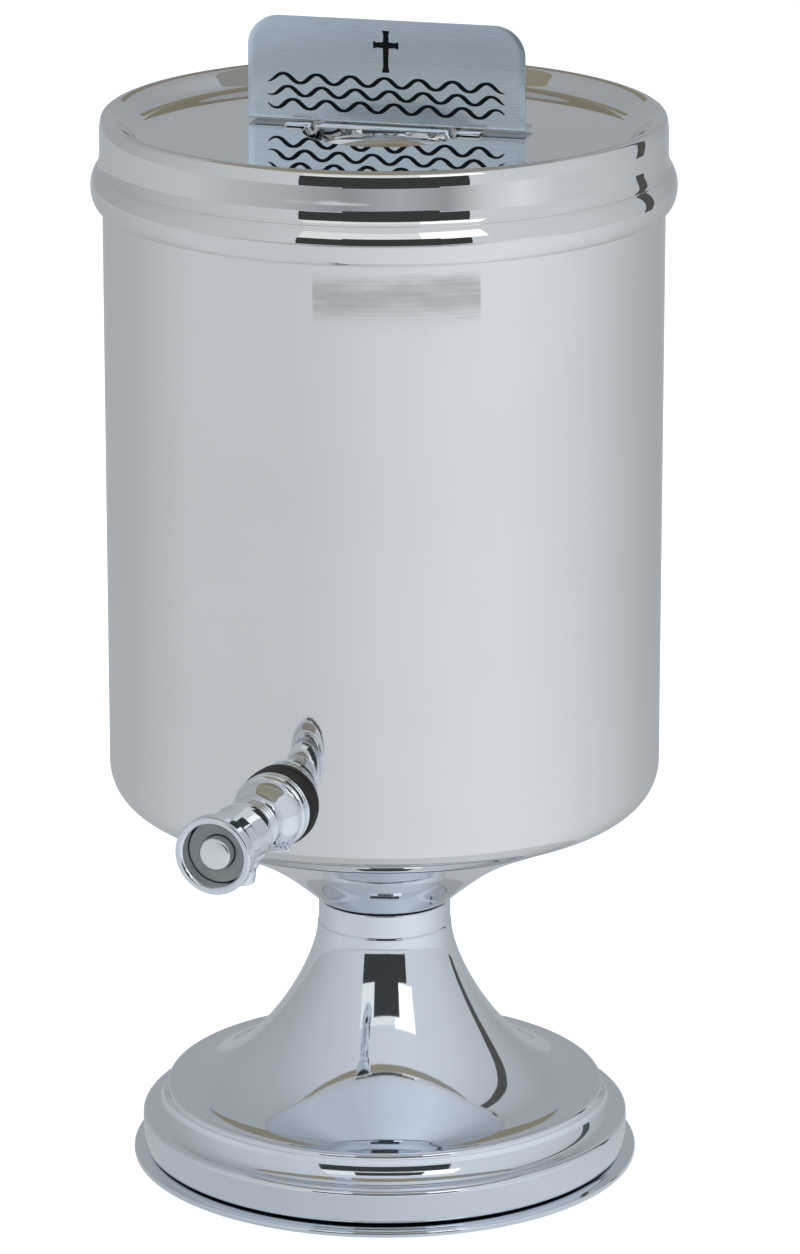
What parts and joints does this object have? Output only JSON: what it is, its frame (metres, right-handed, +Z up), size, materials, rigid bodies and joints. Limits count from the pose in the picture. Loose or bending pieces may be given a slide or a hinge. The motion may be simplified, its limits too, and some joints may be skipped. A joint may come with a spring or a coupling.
{
  "type": "holy water urn",
  "caption": "Covered water dispenser on a spun pedestal foot, with a lift-off lid that carries a sign plate, and a push-button tap at the base of the tank.",
  "frame": {"origin": "on the ground under the middle of the space that the urn takes up, tap included", "axes": "+Z up along the tank's axis, -Y along the tap, towards the person who draws water, +X to the right as seen from in front of the tap"},
  "size_m": [0.225, 0.286, 0.4569],
  "materials": {
    "polished_steel": "drawn stainless steel, polished with a faint satin",
    "spun_chrome": "bright mirror finish",
    "satin_sheet": "fine satin sheet",
    "plain_steel": "plain, as turned or stamped",
    "black_rubber": "matt black",
    "grey_plastic": "moulded, slightly glossy"
  },
  "bodies": {
    "urn": {"tank": "polished_steel", "tank_flare": "spun_chrome", "flare_gasket": "black_rubber", "collar_ring": "spun_chrome", "foot_shell": "spun_chrome", "tie_rod": "plain_steel", "tank_seal_washer": "black_rubber", "tie_cap_nut": "plain_steel", "foot_spreader": "plain_steel", "foot_lock_washer": "plain_steel", "foot_lock_nut": "plain_steel", "tap_gasket_outer": "black_rubber", "tap_gasket_inner": "black_rubber", "tap_inner_washer": "plain_steel", "tap_lock_nut": "plain_steel", "tap_collar": "spun_chrome", "tap_body": "spun_chrome", "tap_front_ring": "spun_chrome", "tap_guide": "grey_plastic", "return_spring": "plain_steel", "tap_screw": "spun_chrome"},
    "lid": {"lid_cover": "polished_steel", "lid_strap": "polished_steel", "sign_plate": "satin_sheet", "sign_rivet_left": "plain_steel", "sign_rivet_right": "plain_steel"},
    "button": {"push_button": "spun_chrome", "valve_stem": "plain_steel", "valve_seal": "black_rubber"}
  },
  "joints": [
    {"name": "lid_lift", "type": "slide", "parent": "urn", "child": "lid", "axis": [0, 0, 1], "range_m": [0, 0.1]},
    {"name": "button_push", "type": "slide", "parent": "urn", "child": "button", "axis": [0, 1, 0], "range_m": [0, 0.005], "stiffness_N_per_m": 900, "springref_m": -0.004, "deforming": ["return_spring"]}
  ]
}
